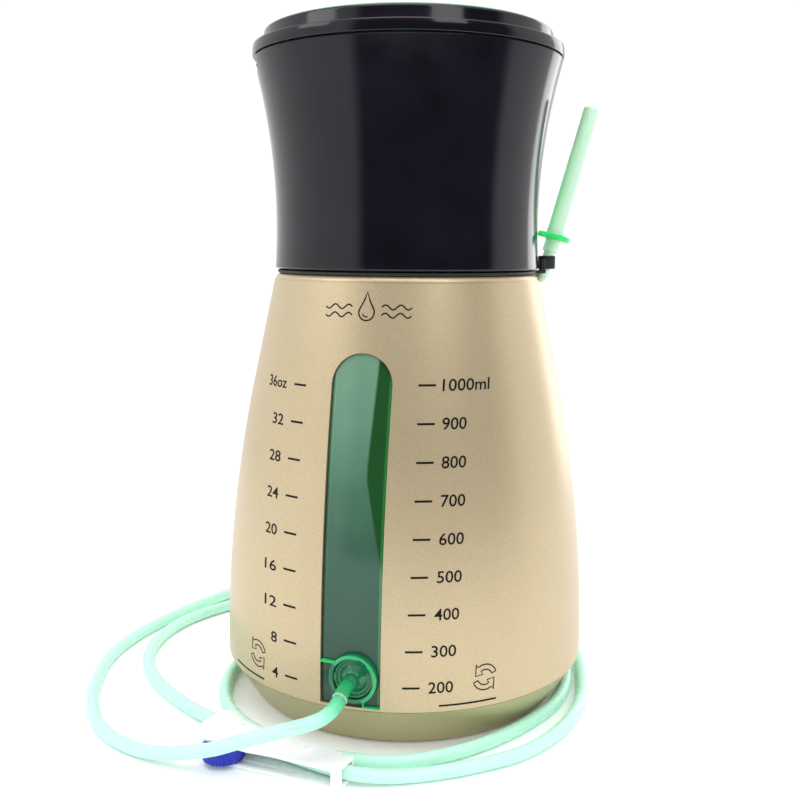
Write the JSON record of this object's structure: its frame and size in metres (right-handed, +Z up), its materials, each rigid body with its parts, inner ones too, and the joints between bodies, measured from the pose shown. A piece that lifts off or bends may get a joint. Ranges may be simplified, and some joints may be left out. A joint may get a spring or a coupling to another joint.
{
  "type": "gravity irrigator bottle",
  "caption": "Free-standing irrigator: a bottle with a level window, a screw-on storage cup with a lid, a hose outlet, and a soft hose with a roller clamp and a parked nozzle.",
  "frame": {"origin": "centre of the face that the bottle stands on", "axes": "+Z up along the bottle's axis, and the level window and the outlet face -Y"},
  "size_m": [0.1757, 0.187, 0.2215],
  "materials": {
    "gold_paint": "satin champagne metallic paint",
    "bronze_paint": "satin darker metallic paint",
    "black_gloss": "polished black",
    "green_clear": "translucent moulded",
    "green_bright": "translucent moulded",
    "green_dark": "translucent moulded",
    "black_rubber": "matt",
    "clear_silicone": "translucent silicone",
    "mint_silicone": "milky translucent silicone",
    "white_plastic": "smooth moulded",
    "blue_plastic": "smooth moulded, ribbed rim",
    "steel": "drawn wire",
    "nozzle_clear": "clear tinted moulded"
  },
  "bodies": {
    "bottle": {"casing": "gold_paint", "tank": "green_clear", "tank_floor": "green_clear", "neck_ring": "green_clear", "base_shell": "bronze_paint", "foot_pad": "black_rubber", "holder_band": "black_rubber", "outlet_socket": "green_bright", "hose": "mint_silicone", "clamp_body": "white_plastic", "nozzle_adapter": "green_bright", "nozzle_tip": "nozzle_clear"},
    "seal": {"neck_seal": "black_rubber"},
    "cup": {"cup_shell": "black_gloss", "cup_socket": "black_gloss", "cup_window": "green_clear", "vent_valve": "clear_silicone"},
    "lid": {"lid_ring": "black_gloss", "lid_liner": "green_bright", "lid_cap": "black_gloss", "lid_plate": "green_bright", "lid_seal": "clear_silicone"},
    "connector": {"outlet_connector": "green_dark", "outlet_oring": "black_rubber"},
    "axle": {"clamp_axle": "steel"},
    "wheel": {"clamp_wheel": "blue_plastic"},
    "sheath": {"tip_sheath": "nozzle_clear"}
  },
  "joints": [
    {"name": "cup_rise", "type": "slide", "parent": "bottle", "child": "seal", "axis": [0, 0, 1], "range_m": [0, 0.006]},
    {"name": "cup_turn", "type": "hinge", "parent": "seal", "child": "cup", "pos_m": [0, 0, 0.15], "axis": [0, 0, 1], "range_deg": [0, 540]},
    {"name": "lid_lift", "type": "slide", "parent": "cup", "child": "lid", "axis": [0, 0, 1], "range_m": [0, 0.022]},
    {"name": "connector_turn", "type": "hinge", "parent": "bottle", "child": "connector", "pos_m": [0.002, -0.0605, 0.0244], "axis": [0, -1, 0], "range_deg": [0, 60]},
    {"name": "clamp_travel", "type": "slide", "parent": "bottle", "child": "axle", "axis": [0.9951, -0.0985, 0], "range_m": [-0.003, 0.0235], "deforming": ["hose"]},
    {"name": "wheel_roll", "type": "hinge", "parent": "axle", "child": "wheel", "pos_m": [-0.03381, -0.07628, 0.0035], "axis": [0, 0, 1], "range_deg": [-28, 215]},
    {"name": "sheath_pull", "type": "slide", "parent": "bottle", "child": "sheath", "axis": [0.2464, 0.0897, 0.965], "range_m": [0, 0.045]}
  ],
  "couplings": [
    {"joint": "cup_rise", "follows": "cup_turn", "m_per_rad": 0.00063662},
    {"joint": "wheel_roll", "follows": "clamp_travel", "rad_per_m": 158.73}
  ]
}
